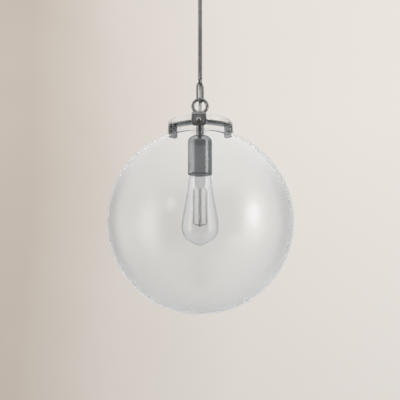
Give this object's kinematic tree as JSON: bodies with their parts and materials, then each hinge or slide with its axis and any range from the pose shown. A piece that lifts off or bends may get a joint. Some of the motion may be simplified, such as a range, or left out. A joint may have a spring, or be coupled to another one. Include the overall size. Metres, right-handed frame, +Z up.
{
  "type": "pendant ceiling light",
  "caption": "Clear glass globe pendant: the neck is gripped by a strap spider with thumbscrews, hung by links, a ring and a rod from a ceiling canopy.",
  "frame": {"origin": "on the ceiling plane, on the light's own vertical axis", "axes": "+Z up into the ceiling, -Y towards the front thumbscrew, +X to the right as seen from the front"},
  "size_m": [0.3044, 0.3044, 0.6442],
  "materials": {
    "nickel": "dark polished nickel",
    "zinc_steel": "zinc plated",
    "globe_glass": "clear, blown",
    "bulb_glass": "clear",
    "bulb_inner_glass": "clear",
    "filament": "coated strip",
    "cord_jacket": "silver jacket",
    "ground_wire": "tinned wire",
    "connector": "moulded",
    "soft_tip": "nylon",
    "socket_body": "moulded phenolic",
    "brass_shell": "drawn shell",
    "ground_screw": "green plated"
  },
  "bodies": {
    "ceiling_mount": {"mounting_strap": "zinc_steel", "box_screw_left": "zinc_steel", "box_screw_right": "zinc_steel", "canopy_screw_left": "zinc_steel", "canopy_screw_right": "zinc_steel", "cap_nut_left": "nickel", "cap_nut_right": "nickel", "ground_screw": "ground_screw", "canopy": "nickel", "canopy_nipple": "zinc_steel", "canopy_locknut": "zinc_steel", "canopy_loop": "nickel", "connector_live": "connector", "connector_neutral": "connector", "canopy_cord": "cord_jacket", "canopy_ground": "ground_wire"},
    "upper_link": {"upper_link": "nickel", "upper_jumper_cord": "cord_jacket", "upper_jumper_ground": "ground_wire"},
    "rod": {"downrod": "nickel", "upper_eye": "nickel", "lower_eye": "nickel", "rod_cord": "cord_jacket", "rod_ground": "ground_wire"},
    "lower_link": {"lower_link": "nickel", "lower_jumper_cord": "cord_jacket", "lower_jumper_ground": "ground_wire"},
    "fixture": {"hanging_ring": "nickel", "hub": "nickel", "arm_front": "nickel", "arm_left": "nickel", "arm_right": "nickel", "boss_front": "nickel", "boss_left": "nickel", "boss_right": "nickel", "globe_glass": "globe_glass", "stem_tube": "nickel", "stem_nipple": "zinc_steel", "stem_cord": "cord_jacket", "stem_ground": "ground_wire", "socket_cup": "nickel", "cup_locknut": "zinc_steel", "socket_body": "socket_body", "socket_shell": "brass_shell"},
    "bulb": {"bulb_base": "brass_shell", "bulb_contact": "zinc_steel", "bulb_glass": "bulb_glass", "bulb_mount": "bulb_inner_glass", "filament_post": "bulb_inner_glass", "filament_1": "filament", "filament_2": "filament", "filament_3": "filament", "filament_4": "filament"},
    "thumbscrew_front": {"thumbscrew_front": "nickel", "soft_tip_front": "soft_tip"},
    "thumbscrew_left": {"thumbscrew_left": "nickel", "soft_tip_left": "soft_tip"},
    "thumbscrew_right": {"thumbscrew_right": "nickel", "soft_tip_right": "soft_tip"}
  },
  "joints": [
    {"name": "upper_link_swing", "type": "hinge", "parent": "ceiling_mount", "child": "upper_link", "pos_m": [0, 0, -0.0579], "axis": [1, 0, 0], "range_deg": [-25, 25], "deforming": ["upper_jumper_cord", "upper_jumper_ground"]},
    {"name": "rod_swing", "type": "hinge", "parent": "upper_link", "child": "rod", "pos_m": [0, 0, -0.0824], "axis": [-0.4695, 0.8829, 0], "range_deg": [-25, 25], "deforming": ["upper_jumper_cord", "upper_jumper_ground"]},
    {"name": "lower_link_swing", "type": "hinge", "parent": "rod", "child": "lower_link", "pos_m": [0, 0, -0.2524], "axis": [-0.4695, 0.8829, 0], "range_deg": [-25, 25], "deforming": ["lower_jumper_cord", "lower_jumper_ground"]},
    {"name": "fixture_swing", "type": "hinge", "parent": "lower_link", "child": "fixture", "pos_m": [0, 0, -0.2769], "axis": [1, 0, 0], "range_deg": [-25, 25], "deforming": ["lower_jumper_cord", "lower_jumper_ground"]},
    {"name": "bulb_out", "type": "slide", "parent": "fixture", "child": "bulb", "axis": [0, 0, -1], "range_m": [0, 0.024]},
    {"name": "thumbscrew_front_out", "type": "slide", "parent": "fixture", "child": "thumbscrew_front", "axis": [0, -1, 0], "range_m": [0, 0.004]},
    {"name": "thumbscrew_left_out", "type": "slide", "parent": "fixture", "child": "thumbscrew_left", "axis": [-0.866, 0.5, 0], "range_m": [0, 0.004]},
    {"name": "thumbscrew_right_out", "type": "slide", "parent": "fixture", "child": "thumbscrew_right", "axis": [0.866, 0.5, 0], "range_m": [0, 0.004]}
  ]
}
